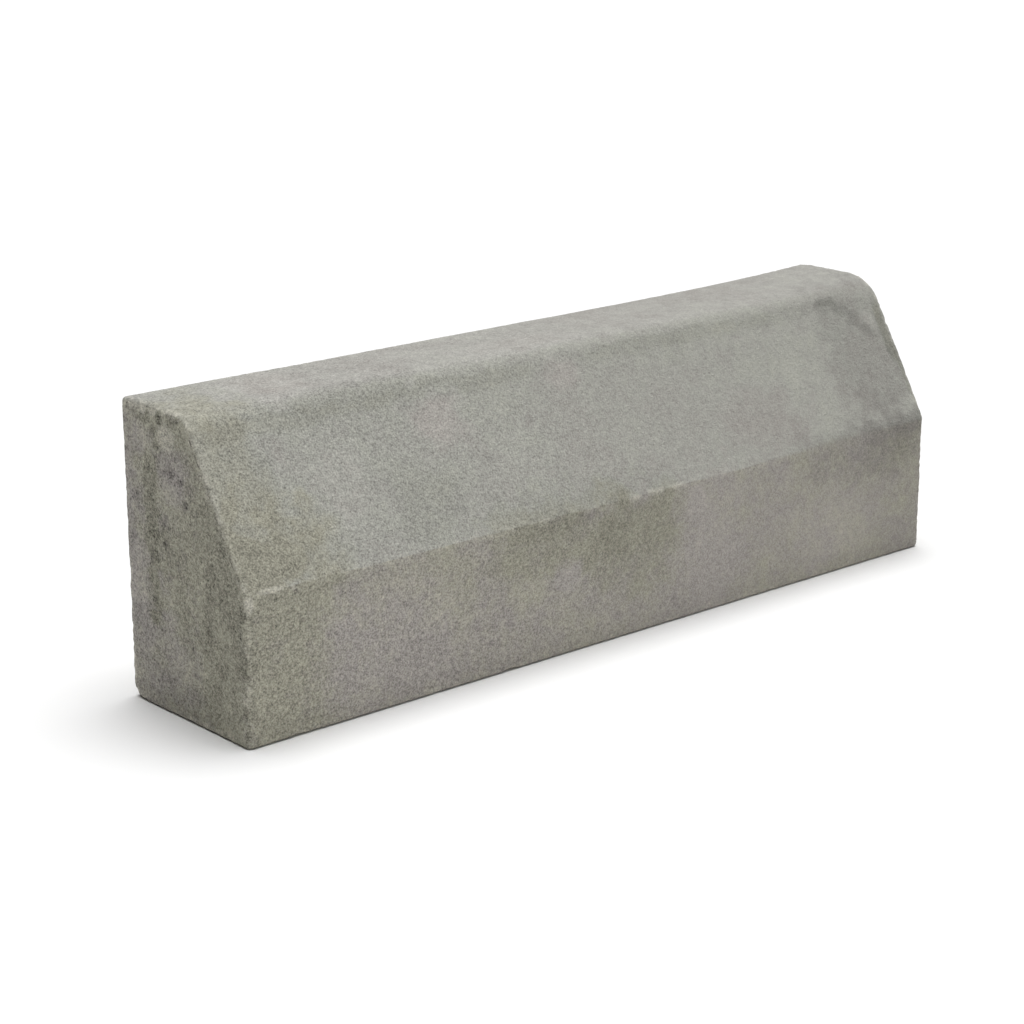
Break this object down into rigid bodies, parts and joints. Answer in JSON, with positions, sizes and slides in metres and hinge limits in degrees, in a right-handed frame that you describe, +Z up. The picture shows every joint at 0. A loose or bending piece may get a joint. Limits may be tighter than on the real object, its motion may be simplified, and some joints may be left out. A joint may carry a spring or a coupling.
{
  "type": "concrete kerb stone",
  "caption": "Precast concrete road kerb stone with an upright back, a flat top and a street face that is upright below and battered above.",
  "frame": {"origin": "middle of the bed, the flat underside that the stone lies on", "axes": "+X along the length, the sloped street face towards -Y, the upright back towards +Y, +Z up"},
  "size_m": [1, 0.205, 0.32],
  "materials": {
    "concrete": "matte"
  },
  "bodies": {
    "root": {"kerb_stone": "concrete"}
  },
  "joints": []
}
